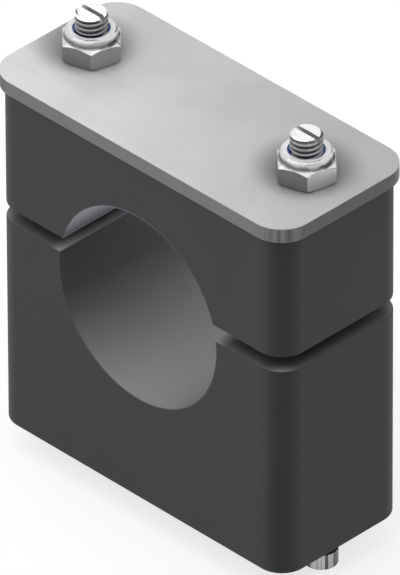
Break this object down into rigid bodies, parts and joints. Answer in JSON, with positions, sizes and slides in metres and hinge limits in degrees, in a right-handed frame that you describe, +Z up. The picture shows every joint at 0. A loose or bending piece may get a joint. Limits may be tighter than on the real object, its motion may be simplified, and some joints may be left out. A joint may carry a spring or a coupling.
{
  "type": "tube clamp",
  "caption": "Split moulded clamp for one tube, with a steel cover plate, slotted hammer-head studs that hold it on a rail, and lock nuts with nylon rings.",
  "frame": {"origin": "middle of the tube bore, halfway along it", "axes": "+X across the tube through both studs, +Y along the tube, +Z up along the studs towards the nuts"},
  "size_m": [0.072, 0.032, 0.088],
  "materials": {
    "moulding": "matt moulded dark grey",
    "plate_steel": "satin stainless",
    "stud_steel": "bright rolled stainless",
    "nut_steel": "bright turned stainless",
    "nylon": "blue nylon"
  },
  "bodies": {
    "clamp_base": {"lower_block": "moulding"},
    "clamp_top": {"upper_block": "moulding", "cover_plate": "plate_steel"},
    "bolt_left": {"stud_left": "stud_steel"},
    "bolt_right": {"stud_right": "stud_steel"},
    "nut_left": {"lock_nut_left": "nut_steel", "nylon_ring_left": "nylon"},
    "nut_right": {"lock_nut_right": "nut_steel", "nylon_ring_right": "nylon"}
  },
  "joints": [
    {"name": "clamp_travel", "type": "slide", "parent": "clamp_base", "child": "clamp_top", "axis": [0, 0, 1], "range_m": [-0.003, 0.003]},
    {"name": "bolt_left_turn", "type": "hinge", "parent": "clamp_base", "child": "bolt_left", "pos_m": [-0.026, 0, 0], "axis": [0, 0, 1], "range_deg": [-90, 0]},
    {"name": "bolt_right_turn", "type": "hinge", "parent": "clamp_base", "child": "bolt_right", "pos_m": [0.026, 0, 0], "axis": [0, 0, 1], "range_deg": [-90, 0]},
    {"name": "nut_left_turn", "type": "hinge", "parent": "clamp_top", "child": "nut_left", "pos_m": [-0.026, 0, 0.033], "axis": [0, 0, 1], "range_deg": [-1080, 1080]},
    {"name": "nut_right_turn", "type": "hinge", "parent": "clamp_top", "child": "nut_right", "pos_m": [0.026, 0, 0.033], "axis": [0, 0, 1], "range_deg": [-1080, 1080]}
  ],
  "couplings": [
    {"joint": "nut_left_turn", "follows": "clamp_travel", "rad_per_m": 6283.2},
    {"joint": "nut_right_turn", "follows": "clamp_travel", "rad_per_m": 6283.2}
  ]
}
